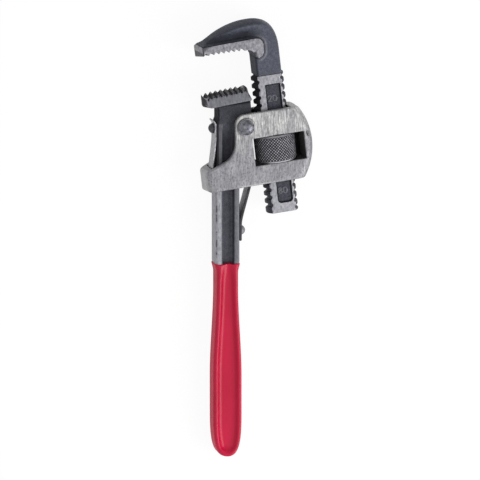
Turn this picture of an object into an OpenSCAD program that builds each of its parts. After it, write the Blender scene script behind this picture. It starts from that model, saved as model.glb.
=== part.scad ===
// Pipe wrench of the Stillson pattern, lying on its back face.
// +X points from the jaw opening to the back of the hook, +Y along the handle
// to the head, +Z out of the front face. The origin is the axis of the frame
// rivet, on the back face of the frame.

/* [Shank and hook jaw] */
// Distance from the frame rivet to the axis of the shank
shank_s = 19.4; // [18.6:0.1:21.5]
// Angle between the shank and the handle
tilt = 6.6; // [5.5:0.1:7.5]
// Diameter over the crests of the shank's thread
shank_d = 20.8; // [19:0.1:21.6]
// Thickness of the shank across its two flats
shank_t = 14; // [13:0.1:15]
// Pitch of the thread
pitch = 5; // [4.5:0.1:5.5]
// Depth of the thread
thread_h = 1.8; // [1.5:0.05:2]
// Height of the shoulder under the hook, above the rivet
shoulder_up = 30.5; // [29:0.1:34]
// Length of the shank below the rivet
shank_down = 59.1; // [56:0.1:64]
// Width of the sunk panel on each flat
panel_w = 9.5; // [7:0.1:10]
// Depth of the sunk panel
panel_h = 1.2; // [0.6:0.1:1.8]
// Width of the flat on the hook's stem
stem_w = 16.4; // [15:0.1:17.5]
// Depth of the rim that stands out behind the hook's stem
stem_rim = 0.6; // [0.3:0.1:1.6]
// Height of the hook's tooth line above its shoulder
throat_h = 18.2; // [17:0.1:26]
// Reach of the hook from the shank's axis to its tip
hook_reach = 42.9; // [38:0.1:46]
// Height of the hook above its tooth line, at the crown
crown_h = 18.1; // [15:0.1:20]
// Slope of the hook's tooth line against the shank
hook_slope = -0.5; // [-1.5:0.1:2.5]
// Height of the hook's end face at the tip
tip_h = 5.3; // [4:0.1:7]
// Depth of the step along the hook's outer edges
rim_step = 2; // [1:0.1:3]
// Width of the hook's outer rim, along its thickness
rim_w = 10; // [6:0.1:14]
// Thickness of both jaws
jaw_t = 20; // [18:0.1:22]

/* [Teeth] */
// Pitch of the jaw teeth
tooth_pitch = 3.3; // [3:0.05:3.4]
// Depth of the jaw teeth
tooth_h = 1.7; // [1.2:0.1:2]
// Number of teeth on each jaw
teeth = 8; // [6:1:8]

/* [Handle] */
// Length of the handle from the rivet to its end
handle_len = 214.8; // [190:0.2:240]
// Distance from the rivet to the handle's axis
bar_x = 11.1; // [10.8:0.1:11.6]
// Width of the bar between the frame and the grip
bar_w = 15.6; // [15:0.1:16]
// Width of the bar at the waist above the grip
waist_w = 12.6; // [12:0.1:15]
// Width of the bar at the swell of the grip
swell_w = 17.2; // [16:0.1:20]
// Width of each flange of the I-section
flange_w = 3.8; // [3:0.1:4.4]
// Thickness of the web between the flanges
web_t = 5; // [4:0.1:7]
// Radius of the eye around the rivet
eye_r = 5.4; // [5:0.1:5.8]
// Height of the heel jaw's underside at its right end, above the rivet
heel_y = 17; // [16:0.1:18.5]
// Height of the heel jaw's ground block, from its underside to the crests
heel_h = 7.2; // [5:0.1:7.6]
// Slope of the heel jaw
heel_slope = 9; // [7:0.1:10]

// Depth of the seat milled for the front spring
spring_seat = 0.9; // [0.5:0.1:1.5]
// Depth that the neck is drawn in above the front spring
neck_in = 1.7; // [1.2:0.1:2.5]
// Length of the handle's rounded end
round_len = 30; // [26:0.5:40]

/* [Grip] */
// Distance from the rivet to the top of the grip
grip_y = 88.7; // [80:0.1:100]
// Thickness of the dipped coating
coat = 0.8; // [0.5:0.05:1.5]

/* [Frame] */
// Thickness of each cheek
cheek_t = 3.5; // [3:0.1:4.5]
// Play between a cheek and the shank's flat
shank_play = 0.5; // [0.3:0.05:0.8]
// Play between a cheek and the bar
bar_play = 1; // [0.5:0.05:1.5]
// Play between the shank's crests and the frame, on the radius
crest_play = 0.7; // [0.5:0.05:1]
// Height of the frame above the window
upper_bridge = 16.3; // [15:0.1:18]
// Height of the frame below the window
lower_bridge = 12.4; // [10:0.1:14]
// Wall to the right of the shank
right_wall = 12.1; // [11.5:0.1:14]
// Depth of the rounding on the right side
side_round = 5; // [3:0.1:5.2]
// Metal around the rivet's head
boss_edge = 1.6; // [1:0.1:2.5]
// Wall that guides the shank below the window
guide_t = 4.8; // [3:0.1:5.2]
// Room between the bar and the lug that wraps it
lug_room = 2.8; // [2.6:0.1:3.4]
// Thickness of the lug's wall
lug_wall = 3.8; // [3:0.1:5]
// Height of the lug at its outer side
lug_h = 13; // [11:0.1:14.5]
// Radius of the frame's upper right corner
corner_round = 4; // [2:0.1:5]
// Radius of the lug's outer bends
lug_round = 5; // [2:0.1:6]

/* [Adjusting nut] */
// Diameter of the nut
nut_d = 26.4; // [25:0.1:28]
// Height of the nut
nut_h = 17.4; // [16:0.1:18.5]
// Distance from the rivet down to the middle of the nut
nut_down = 17; // [16.5:0.1:17.5]
// Play between the nut and the window, at each end
nut_play = 0.22; // [0.1:0.02:0.4]
// Room between the nut and the window's left edge
window_left = 3.15; // [2:0.05:3.6]
// Room between the nut and the window's right edge
window_right = 4.15; // [2.5:0.05:4.7]
// Room between the nut and the window's right edge, in the back cheek
window_back = 1.4; // [0.8:0.05:2.4]
// Chamfer on the nut's rims
nut_chamfer = 1.2; // [0.6:0.1:1.6]
// Play between the nut's bore and the shank's crests, on the radius
bore_play = 0.3; // [0.2:0.05:0.5]
// Play between the nut's thread and the roots of the shank's thread
root_play = 0.3; // [0.2:0.05:0.5]

/* [Rivets] */
// Diameter of the frame rivet
rivet_d = 6.4; // [5.5:0.1:7]
// Diameter of the frame rivet's domed head
rivet_head_d = 10.8; // [9.5:0.1:11.5]
// Height of the frame rivet's domed head
rivet_head_h = 2.4; // [1.5:0.1:3]
// Depth that the rivet's peened tail lies below the back face
tail_set = 0.2; // [0.1:0.05:0.5]
// Running clearance of the rivet in the handle's eye, on the radius
rivet_play = 0.06; // [0.03:0.01:0.1]
// Diameter of the spring rivets
pin_d = 3.4; // [2.5:0.1:4]
// Diameter of the spring rivets' heads
pin_head_d = 6.6; // [5.5:0.1:7.5]
// Height of the spring rivets' heads
pin_head_h = 3.2; // [1:0.1:3.6]
// Depth that the spring rivets are driven into the bar
pin_depth = 3.2; // [2:0.1:3.6]

/* [Leaf springs] */
// Width of both springs
spring_w = 10.6; // [9:0.1:12.6]
// Thickness of the front spring
front_spring_t = 1.1; // [0.8:0.05:1.2]
// Height of the front spring's top end, above the rivet
front_top = 3.6; // [3:0.1:4.5]
// Distance from the front spring's top end to its rivet
front_pin_in = 5.1; // [4.6:0.1:6]
// Distance from the rivet down to the front spring's lower end
front_end_down = 36; // [32:0.1:37]
// Thickness of the back spring
back_spring_t = 1.7; // [1:0.05:2]
// Distance from the rivet down to the back spring's lower end
back_bottom = 73.5; // [70:0.1:78]
// Distance from the back spring's lower end to its rivet
back_pin_in = 5.5; // [4.5:0.1:7]
// Gap left between a spring and the wall it bears on
bear_gap = 0.1; // [0.05:0.01:0.2]

/* [Hidden] */
$fn = 48;

// Frame thickness, its cavity and its middle plane
cavity_t = shank_t + 2 * shank_play;
frame_t = cavity_t + 2 * cheek_t;
mid_z = frame_t / 2;
// Bar faces
bar_t = cavity_t - 2 * bar_play;
bar_left = -bar_x - bar_w / 2;
bar_right = -bar_x + bar_w / 2;
seat_x = bar_left + spring_seat;
// Window, cavity and outline of the frame, across and along the shank
window_t = nut_h + 2 * nut_play;
window_top = -nut_down + window_t / 2;
window_bottom = -nut_down - window_t / 2;
window_s0 = shank_s - nut_d / 2 - window_left;
window_s1 = shank_s + nut_d / 2 + window_right;
window_s2 = shank_s + nut_d / 2 + window_back;
frame_top = window_top + upper_bridge;
frame_bottom = window_bottom - lower_bridge;
passage_r = shank_d / 2 + crest_play;
frame_s1 = shank_s + passage_r + right_wall;
corner_s1 = frame_s1 - 7.2;
guide_s0 = shank_s - passage_r - guide_t;
lug_inner = bar_left - lug_room;
lug_outer = lug_inner - lug_wall;
boss_r = rivet_head_d / 2 + boss_edge;
// Rivets of the springs
front_pin_down = front_pin_in - front_top;
back_pin_down = back_bottom - back_pin_in;
// Thread shared by the shank and the nut
crest_r = shank_d / 2;
root_r = crest_r - thread_h;
groove_root = pitch / 2;
groove_crest = pitch * 0.64;
first_groove = -shank_down + pitch / 2;
mesh_t = first_groove + pitch * round((-nut_down - first_groove) / pitch);
core_s = 0.9 * sqrt(max(1, root_r * root_r - shank_t * shank_t / 4));
bore_r = crest_r + bore_play;
ridge_r = root_r + root_play;
// Jaws
tooth_line = shoulder_up + throat_h;
lean = 0.62;
tip_land = 0.5;
heel_x = eye_r - 1.5;
heel_land = 1.9;
heel_len = heel_land + teeth * tooth_pitch;
far = 400;
seam = 0.5;

// ---- points and curves ----
function unit(v) = v / norm(v);
function turned(p, a) = [p.x * cos(a) - p.y * sin(a), p.x * sin(a) + p.y * cos(a)];
// A point given across and along the shank, in the frame's own X and Y
function on_shank(s, t) = turned([s, t], tilt);
// Y at a given X on a line that crosses the shank squarely at height t
function across_y(x, t) = (t + x * sin(tilt)) / cos(tilt);
function ease(x0, x1, x) = let(k = min(1, max(0, (x - x0) / (x1 - x0)))) k * k * (3 - 2 * k);
function bezier(p, n) = [for (i = [0:n]) let(k = i / n, m = 1 - k)
    m * m * m * p[0] + 3 * m * m * k * p[1] + 3 * m * k * k * p[2] + k * k * k * p[3]];
// An arc of radius r in place of the corner p between a and b
function corner(a, p, b, r, n = 6) =
    r <= 0 ? [p] :
    let(u = unit(a - p), v = unit(b - p), half = acos(u * v) / 2,
        c = p + unit(u + v) * r / sin(half), first = p + u * r / tan(half) - c,
        way = cross(u, v) > 0 ? -1 : 1)
    [for (i = [0:n]) c + turned(first, way * (180 - 2 * half) * i / n)];
// A closed outline from corners written as [x, y, radius]
function rounded(q) = let(n = len(q)) [for (i = [0:n - 1])
    each corner(xy(q[(i + n - 1) % n]), xy(q[i]), xy(q[(i + 1) % n]), q[i][2])];
function xy(q) = [q[0], q[1]];
function with_r(p, r = 0) = [p.x, p.y, r];
// The line beside a path at distance d, to the left of its direction
function beside(path, d) = let(n = len(path)) [for (i = [0:n - 1])
    let(v = unit(path[min(n - 1, i + 1)] - path[max(0, i - 1)])) path[i] + d * [-v.y, v.x]];
function strip(path, t) = concat(beside(path, t / 2),
    [for (i = [len(path) - 1:-1:0]) beside(path, -t / 2)[i]]);
// Saw teeth from right to left, crests at height 0, each corner as [x, y, radius]
function saw(n, p, h, lean) = [for (i = [0:n - 1])
    each [[-i * p, 0, 0], [-(i + lean) * p, -h, 0]]];

// ---- placing ----
module slab(t) translate([0, 0, mid_z - t / 2]) linear_extrude(t) children();
module across_shank() rotate([0, 0, tilt]) children();
// Local Z runs up the shank and local X across it
module along_shank(s = 0) translate([0, 0, mid_z]) across_shank()
    translate([s, 0, 0]) rotate([-90, 0, 0]) children();
module block(s0, s1, t0, t1, thick) translate([s0, t0, mid_z - thick / 2])
    cube([s1 - s0, t1 - t0, thick]);

// ---- handle ----
end_power = 3.1;
// Half width of the bar at height y, grown by e
function bar_half(y, e) = let(
    down = -y, end = handle_len - coat + e, round_from = end - round_len,
    w = down < grip_y + 15
        ? bar_w + (waist_w - bar_w) * ease(grip_y - 2, grip_y + 6, down)
        : waist_w + (swell_w - waist_w) * ease(grip_y + 15, grip_y + 74, down),
    k = max(0, (down - round_from) / (end - round_from)))
    (w / 2 + e) * pow(max(0, 1 - pow(k, end_power)), 1 / end_power);
function bar_stations(y0, y1) = [for (i = [0:36]) y0 + (y1 - y0) * i / 36];
// Stations that draw together towards the rounded end
function end_stations(e) = let(end = handle_len - coat + e)
    [for (a = [4:4:88]) -(end - round_len + round_len * sin(a))];
bar_from = -31;
function bar_ys(e) = concat(bar_stations(bar_from, -(handle_len - coat + e - round_len)),
    end_stations(e));
module bar_outline(e) {
    ys = bar_ys(e);
    n = len(ys);
    polygon(concat(
        [for (i = [n - 1:-1:0]) [-bar_x + bar_half(ys[i], e), ys[i]]],
        [for (i = [0:n - 1]) [-bar_x - bar_half(ys[i], e), ys[i]]],
        [[-bar_x, -(handle_len - coat + e)]]));
}
// The hollow between the flanges, drawn in by e, as one outline
recess_top = 2.6;
recess_end = 4;
module recess_outline(e) {
    low = -(handle_len - recess_end) + e;
    ys = bar_stations(recess_top - 3.5 - e, low + 4);
    n = len(ys);
    mid = -bar_x;
    half_top = bar_half(ys[0], 0) - flange_w - e;
    half_low = bar_half(ys[n - 1], 0) - flange_w - e;
    corner = min(3, 0.7 * half_low);
    polygon(rounded(concat(
        [for (i = [n - 1:-1:0]) [mid + bar_half(ys[i], 0) - flange_w - e, ys[i], 0]],
        [[mid + half_top, recess_top - e, 2.6], [mid - half_top, recess_top - e, 2.6]],
        [for (i = [0:n - 1]) [mid - bar_half(ys[i], 0) + flange_w + e, ys[i], 0]],
        [[mid - half_low, low, corner], [mid + half_low, low, corner]])));
}
module bar_recesses(e) {
    depth = bar_t / 2 + e;
    for (side = [-1, 1])
        translate([0, 0, mid_z + side * (web_t / 2 + e + depth / 2)])
            linear_extrude(depth, center = true) recess_outline(e);
}
module heel_block() slab(jaw_t)
    translate([heel_x, heel_y]) rotate(heel_slope) polygon(rounded(concat(
        [[-heel_len, 0, 1.6], [0, 0, 0], [0, heel_h * 2 / 3, heel_h / 2]],
        [for (q = saw(teeth, tooth_pitch, tooth_h, lean)) q + [-heel_land, heel_h, 0]],
        [[-heel_len, heel_h, 0]])));
module neck_outline() {
    low_x = heel_x - heel_len * cos(heel_slope);
    low_y = heel_y - heel_len * sin(heel_slope);
    neck_x = bar_left + neck_in;
    root_y = heel_y - (heel_x - neck_x) * tan(heel_slope);
    polygon(rounded([
        [seat_x, bar_from - 1, 0], [bar_right, bar_from - 1, 0],
        [bar_right, -eye_r - 5, 5], [eye_r, -eye_r - 1, 4],
        [heel_x, heel_y, 0], [heel_x - seam, heel_y + heel_h / 3, 0],
        [low_x + 5, low_y + heel_h / 2, 0], [low_x + 3, low_y + 0.6, 0],
        [neck_x, root_y - 0.3, 3], [neck_x, front_top + 1.5, 0], [seat_x, front_top - 0.5, 0]]));
}
module spring_pin_hole(x, y, side) translate([x, y, mid_z]) rotate([0, side * 90, 0])
    translate([0, 0, -pin_depth]) cylinder(d = pin_d, h = pin_depth + 2);
module handle_bar() color("dimgray") difference() {
    union() {
        slab(bar_t) bar_outline(0);
        slab(bar_t) neck_outline();
        heel_block();
    }
    bar_recesses(0);
    translate([0, 0, -1]) cylinder(r = rivet_d / 2 + rivet_play, h = frame_t + 2);
    spring_pin_hole(seat_x, -front_pin_down, -1);
    spring_pin_hole(bar_right, -back_pin_down, 1);
}
// The coating follows the bar, recesses and all, at the same thickness everywhere
module grip_coating() color("firebrick") difference() {
    slab(bar_t + 2 * coat) bar_outline(coat);
    bar_recesses(coat);
    difference() {
        slab(bar_t) bar_outline(0);
        bar_recesses(0);
    }
    translate([-far / 2, -grip_y, mid_z - far / 2]) cube([far, far, far]);
}

// ---- frame ----
// Run of the lug's outer side, which is parallel to the shank
lug_lean = lug_h * tan(tilt);
module frame_outline() {
    mid_t = (frame_top + frame_bottom) / 2;
    half_t = (frame_top - frame_bottom) / 2;
    sag = frame_s1 - corner_s1;
    side_r = (half_t * half_t + sag * sag) / (2 * sag);
    swing = asin((half_t - 2.5) / side_r);
    polygon(rounded([
        [lug_outer + lug_lean, across_y(lug_outer, frame_bottom), 3],
        with_r(on_shank(corner_s1, frame_bottom), 2.4),
        for (i = [-5:5]) with_r(on_shank(
            frame_s1 - side_r + side_r * cos(swing * i / 5), mid_t + side_r * sin(swing * i / 5))),
        with_r(on_shank(corner_s1, frame_top), corner_round),
        [-boss_r, across_y(-boss_r, frame_top), boss_r - 0.5],
        [-boss_r, -boss_r - 11.6, 13],
        [lug_outer, across_y(lug_outer, frame_bottom) + lug_h, 1.6]]));
}
module frame_envelope() {
    flat_s1 = frame_s1 + 0.3 - side_round;
    bulge_r = (frame_t * frame_t / 4 + side_round * side_round) / (2 * side_round);
    intersection() {
        slab(frame_t) frame_outline();
        across_shank() union() {
            block(-far / 2, flat_s1, -far / 2, far / 2, frame_t + 2);
            translate([flat_s1 + side_round - bulge_r, 0, mid_z]) rotate([90, 0, 0])
                cylinder(r = bulge_r, h = far, center = true, $fn = 96);
        }
        union() {
            block(lug_outer + lug_round, far, -far / 2, far / 2, frame_t + 2);
            block(lug_outer - 1, lug_outer + lug_round + seam, -far / 2, far / 2,
                  frame_t - 2 * lug_round);
            for (side = [-1, 1])
                translate([lug_outer + lug_round, 0, mid_z + side * (frame_t / 2 - lug_round)])
                    rotate([90, 0, 0]) cylinder(r = lug_round, h = far, center = true);
        }
    }
}
module frame_cavity() difference() {
    intersection() {
        block(lug_inner, far, -far / 2, far / 2, cavity_t);
        across_shank() block(-far, shank_s + passage_r, -far / 2, far / 2, cavity_t + 1);
    }
    across_shank() block(guide_s0, shank_s - passage_r, -far / 2, window_bottom, cavity_t + 2);
}
// The window, which is narrower in the back cheek
module frame_window() {
    for (cut = [[window_s1, cheek_t], [window_s2, -1]])
        translate([window_s0, window_bottom, cut[1]])
            cube([cut[0] - window_s0, window_t, frame_t + 1 - cut[1]]);
}
module frame_housing() color("silver") difference() {
    frame_envelope();
    frame_cavity();
    across_shank() frame_window();
    translate([0, 0, -1]) cylinder(d = rivet_d, h = frame_t + 2);
}

// ---- hook jaw ----
// Radius profile of the threaded shank, grooves starting from the height g0
function thread_profile(g0) = let(n = ceil((shoulder_up - g0) / pitch)) concat(
    [[0, -shank_down], [crest_r, -shank_down]],
    [for (i = [0:n]) let(g = g0 + i * pitch)
        if (g - groove_crest / 2 > -shank_down && g + groove_crest / 2 < shoulder_up)
            each [[crest_r, g - groove_crest / 2], [root_r, g - groove_root / 2],
                  [root_r, g + groove_root / 2], [crest_r, g + groove_crest / 2]]],
    [[crest_r, shoulder_up], [0, shoulder_up]]);
module thread_side(side, g0) intersection() {
    rotate_extrude($fn = 96) polygon(thread_profile(g0));
    translate([side > 0 ? core_s / 2 : -far / 2 - core_s / 2, -shank_t / 2, -far / 2])
        cube([far / 2, shank_t, far]);
}
module shank() along_shank(shank_s) union() {
    thread_side(1, first_groove);
    thread_side(-1, first_groove - pitch / 2);
    translate([-core_s, -shank_t / 2, -shank_down])
        cube([2 * core_s, shank_t, shank_down + shoulder_up + seam]);
}
module panel() {
    polygon(rounded([[-panel_w / 2, -shank_down + 6.4, 2], [panel_w / 2, -shank_down + 6.4, 2],
                     [panel_w / 2, shoulder_up - 6.3, 0.8], [-panel_w / 2, shoulder_up - 6.3, 0.8]]));
}
// Height of the tooth line at x, measured from the shank's axis
function line_y(x) = tooth_line + (x + stem_w / 2) * tan(hook_slope);
// Upper side of the hook from the tip over the crown to the back, drawn in by e
function hook_top(e) = let(
    tip = [-hook_reach, tooth_line + tip_h],
    crown = [-hook_reach * 0.21, tooth_line + crown_h - e],
    back = [stem_w / 2 + stem_rim - min(e, stem_rim), tooth_line],
    rise = [hook_reach * 0.16, crown_h * 0.31 - e]) concat(
    bezier([tip, tip + rise, crown - [hook_reach * 0.33, 0], crown], 12),
    bezier([crown, crown + [hook_reach * 0.235, 0], back + [0, crown_h * 0.82], back], 12));
module hook_outline(e) {
    left = -stem_w / 2;
    tip_x = -hook_reach + 0.6;
    teeth_end = tip_x + tip_land + teeth * tooth_pitch;
    top = hook_top(e);
    polygon(rounded(concat(
        [[top[len(top) - 1].x, shoulder_up, 0]],
        [for (i = [len(top) - 1:-1:0]) with_r(top[i])],
        [[tip_x, line_y(tip_x), 0]],
        [for (i = [0:teeth - 1]) let(x = tip_x + tip_land + i * tooth_pitch) each [
            [x, line_y(x), 0], [x + (1 - lean) * tooth_pitch, line_y(x) + tooth_h, 0]]],
        [[teeth_end, line_y(teeth_end), 0]],
        [[left, tooth_line, min(5, left - teeth_end - 0.3)], [left, shoulder_up, 0]])));
}
module hook_jaw() color("slategray") difference() {
    union() {
        shank();
        slab(jaw_t) rotate(tilt) translate([shank_s, 0]) hook_outline(rim_step);
        slab(rim_w) rotate(tilt) translate([shank_s, 0]) hook_outline(0);
    }
    for (side = [-1, 1])
        translate([0, 0, mid_z + side * (shank_t / 2 - panel_h + far / 2)])
            linear_extrude(far, center = true) rotate(tilt) translate([shank_s, 0]) panel();
}

// ---- adjusting nut ----
ridge_tip_w = 0.9;
ridge_base_w = 1.5;
ridge_steps = 24;
function ridge_section() = [[bore_r + seam, -ridge_base_w / 2], [bore_r + seam, ridge_base_w / 2],
    [ridge_r, ridge_tip_w / 2], [ridge_r, -ridge_tip_w / 2]];
// The nut's thread: one right-hand ridge that climbs one pitch per turn
module ridge() {
    room = nut_h / 2 - ridge_base_w / 2 - 0.2;
    k0 = ceil((-nut_down - room - mesh_t) / pitch * ridge_steps);
    k1 = floor((-nut_down + room - mesh_t) / pitch * ridge_steps);
    section = ridge_section();
    n = k1 - k0;
    points = [for (k = [k0:k1]) each [for (q = section)
        let(a = 360 * k / ridge_steps)
        [q.x * cos(a), q.x * sin(a), mesh_t + pitch * k / ridge_steps + q.y]]];
    polyhedron(points, concat([[3, 2, 1, 0]], [[4 * n, 4 * n + 1, 4 * n + 2, 4 * n + 3]],
        [for (i = [0:n - 1]) each [for (j = [0:3])
            [4 * i + j, 4 * i + (j + 1) % 4, 4 * i + 4 + (j + 1) % 4, 4 * i + 4 + j]]]),
        convexity = 6);
}
module adjusting_nut() color("gray") along_shank(shank_s) union() {
    translate([0, 0, -nut_down - nut_h / 2]) rotate_extrude($fn = 96) polygon([
        [bore_r, 0.8], [bore_r + 0.8, 0], [nut_d / 2 - nut_chamfer, 0],
        [nut_d / 2, nut_chamfer], [nut_d / 2, nut_h - nut_chamfer],
        [nut_d / 2 - nut_chamfer, nut_h], [bore_r + 0.8, nut_h], [bore_r, nut_h - 0.8]]);
    ridge();
}

// ---- rivets ----
module dome(d, h) {
    r = (d * d / 4 + h * h) / (2 * h);
    intersection() {
        translate([0, 0, h - r]) sphere(r = r);
        cylinder(d = d + 2, h = h + 1);
    }
}
module frame_rivet() color("lightgray") union() {
    translate([0, 0, tail_set]) cylinder(d = rivet_d, h = frame_t + seam - tail_set);
    translate([0, 0, frame_t]) dome(rivet_head_d, rivet_head_h);
}
module spring_rivet(x, y, side, over) color("darkgray") translate([x, y, mid_z])
    rotate([0, side * 90, 0]) union() {
        translate([0, 0, -pin_depth]) cylinder(d = pin_d, h = pin_depth + over + 0.3);
        translate([0, 0, over]) dome(pin_head_d, pin_head_h);
    }
module front_spring_rivet() spring_rivet(seat_x, -front_pin_down, -1, front_spring_t);
module back_spring_rivet() spring_rivet(bar_right, -back_pin_down, 1, back_spring_t);

// ---- leaf springs ----
function front_path() = let(
    flat_x = seat_x - front_spring_t / 2,
    end_x = lug_inner + bear_gap + front_spring_t / 2,
    leave = -front_pin_down - pin_head_d / 2 - 1) concat(
    [[flat_x - 1.3, front_top], [flat_x - 0.5, front_top - 0.9], [flat_x, front_top - 1.8]],
    bezier([[flat_x, leave], [flat_x, leave - 8],
            [end_x, -front_end_down + 12], [end_x, -front_end_down]], 12));
module front_leaf_spring() color("gainsboro") difference() {
    slab(spring_w) polygon(strip(front_path(), front_spring_t));
    translate([seat_x, -front_pin_down, mid_z]) rotate([0, -90, 0])
        cylinder(d = pin_d, h = 6, center = true);
}
function back_path() = let(
    flat_x = bar_right + back_spring_t / 2,
    leave = -back_pin_down + pin_head_d / 2 + 0.8,
    bear_t = window_bottom - 4.2,
    tip = on_shank(guide_s0 - bear_gap - back_spring_t * 0.6, bear_t)) concat(
    [[flat_x, -back_bottom]],
    bezier([[flat_x, leave], [flat_x, leave + 5], tip + [-4.2, -19], tip], 12));
module back_leaf_spring() color("gray") difference() {
    slab(spring_w) polygon(strip(back_path(), back_spring_t));
    translate([bar_right, -back_pin_down, mid_z]) rotate([0, 90, 0])
        cylinder(d = pin_d, h = 6, center = true);
}

handle_bar();
grip_coating();
hook_jaw();
frame_housing();
adjusting_nut();
frame_rivet();
front_leaf_spring();
front_spring_rivet();
back_leaf_spring();
back_spring_rivet();
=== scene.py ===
"""Looks of a pipe wrench of the Stillson pattern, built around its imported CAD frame.

Each piece is a field: a signed distance in millimetres, negative inside. A surface net turns
the field into a mesh, so edges and fillets come out round, as forging leaves them.
The hook jaw, the frame and the nut are modelled along the shank: u across it, t up it and
n out of the wrench's middle plane. The other pieces are modelled in x, y and n.
"""
import math

import bpy
import numpy as np
from mathutils import Matrix, Vector


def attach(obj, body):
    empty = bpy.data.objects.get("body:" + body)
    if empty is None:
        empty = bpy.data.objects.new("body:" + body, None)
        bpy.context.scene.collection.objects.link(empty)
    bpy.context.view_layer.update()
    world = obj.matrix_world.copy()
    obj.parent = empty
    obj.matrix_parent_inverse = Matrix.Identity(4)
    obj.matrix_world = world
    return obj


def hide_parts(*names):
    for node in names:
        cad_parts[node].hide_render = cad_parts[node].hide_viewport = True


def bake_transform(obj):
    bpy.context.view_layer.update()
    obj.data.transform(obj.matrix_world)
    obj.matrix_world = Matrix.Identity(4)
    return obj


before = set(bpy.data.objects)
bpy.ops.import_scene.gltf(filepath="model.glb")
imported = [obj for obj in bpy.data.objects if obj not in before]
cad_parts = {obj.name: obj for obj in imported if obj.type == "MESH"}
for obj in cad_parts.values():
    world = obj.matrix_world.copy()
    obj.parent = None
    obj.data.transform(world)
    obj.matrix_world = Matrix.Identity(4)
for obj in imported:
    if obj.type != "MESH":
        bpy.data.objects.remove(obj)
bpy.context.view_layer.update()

MM = 0.001
# The shank leans by TILT, and its axis is SHANK_S away from the frame's rivet
TILT = math.radians(6.6)
COS, SIN = math.cos(TILT), math.sin(TILT)
SHANK_S = 19.4
# Height of the middle plane over the frame's flat back
MID = 11.0


# ---- axes ----
def to_shank(x, y):
    """Across and along the shank's axis, from the frame's own X and Y."""
    return x * COS + y * SIN - SHANK_S, -x * SIN + y * COS


def from_shank(u, t):
    """The frame's own X and Y, from across and along the shank's axis."""
    s = u + SHANK_S
    return s * COS - t * SIN, s * SIN + t * COS


def place_along_shank(points):
    x, y = from_shank(points[:, 0], points[:, 1])
    return np.stack([x, y, points[:, 2] + MID], 1)


def place_along_handle(points):
    return points + np.array([0, 0, MID])


# ---- outlines ----
def bezier(p0, p1, p2, p3, steps=16):
    """Points along a cubic curve."""
    k = np.linspace(0, 1, steps + 1)[:, None]
    p0, p1, p2, p3 = (np.array(p, float) for p in (p0, p1, p2, p3))
    return (1 - k) ** 3 * p0 + 3 * (1 - k) ** 2 * k * p1 + 3 * (1 - k) * k ** 2 * p2 + k ** 3 * p3


def rounded(corners, steps=8):
    """A closed outline from corners written as (x, y, radius)."""
    points = []
    for i, (x, y, radius) in enumerate(corners):
        corner = np.array([x, y])
        if radius <= 0:
            points.append(corner)
            continue
        before = np.array(corners[i - 1][:2]) - corner
        after = np.array(corners[(i + 1) % len(corners)][:2]) - corner
        before, after = before / np.linalg.norm(before), after / np.linalg.norm(after)
        half = math.acos(np.clip(before @ after, -1, 1)) / 2
        bisector = (before + after) / np.linalg.norm(before + after)
        centre = corner + bisector * radius / math.sin(half)
        first = corner + before * radius / math.tan(half) - centre
        way = -1 if before[0] * after[1] - before[1] * after[0] > 0 else 1
        for turn in np.linspace(0, way * (math.pi - 2 * half), steps):
            c, s = math.cos(turn), math.sin(turn)
            points.append(centre + np.array([first[0] * c - first[1] * s, first[0] * s + first[1] * c]))
    return np.array(points)


# ---- distances ----
def line_distance(points, x, y):
    """Distance to an open line of straight stretches."""
    best = np.inf
    for (ax, ay), (bx, by) in zip(points[:-1], points[1:]):
        ex, ey = bx - ax, by - ay
        k = np.clip(((x - ax) * ex + (y - ay) * ey) / max(ex * ex + ey * ey, 1e-9), 0, 1)
        best = np.minimum(best, (x - ax - k * ex) ** 2 + (y - ay - k * ey) ** 2)
    return np.sqrt(best)


def outline_distance(points, x, y):
    """Signed distance to a closed outline."""
    odd = np.zeros(np.broadcast(x, y).shape, bool)
    for (ax, ay), (bx, by) in zip(points, np.roll(points, -1, 0)):
        if ay != by:
            crosses = (ay > y) != (by > y)
            odd ^= crosses & (x < ax + (y - ay) * (bx - ax) / (by - ay))
    away = line_distance(np.concatenate([points, points[:1]]), x, y)
    return np.where(odd, -away, away)


def round_max(a, b, radius):
    """Common part of two fields, with a rounded edge."""
    corner = np.hypot(np.maximum(a + radius, 0), np.maximum(b + radius, 0))
    return np.minimum(np.maximum(a, b), -radius) + corner


def round_min(a, b, radius):
    """Union of two fields, with a fillet."""
    return -round_max(-a, -b, radius)


def ramp(x0, x1, x):
    """A smooth step from 0 at x0 to 1 at x1, whichever is the larger."""
    k = np.clip((x - x0) / (x1 - x0), 0, 1)
    return k * k * (3 - 2 * k)


def most(*fields):
    """Common part of several fields, with sharp edges."""
    total = fields[0]
    for field in fields[1:]:
        total = np.maximum(total, field)
    return total


def zigzag(k):
    """1 at whole numbers and 0 halfway between them."""
    return np.abs(2 * (k - np.floor(k)) - 1)


def towards_back(n, half):
    """0 at the front face and 1 at the back."""
    return np.clip((half - n) / (2 * half), 0, 1)


# ---- fields across the plane, sampled once ----
PLAN_STEP = 0.1


def within(outline):
    """The signed distance to a closed outline, as a field across the plane."""
    return lambda x, y: outline_distance(outline, x, y)


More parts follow.
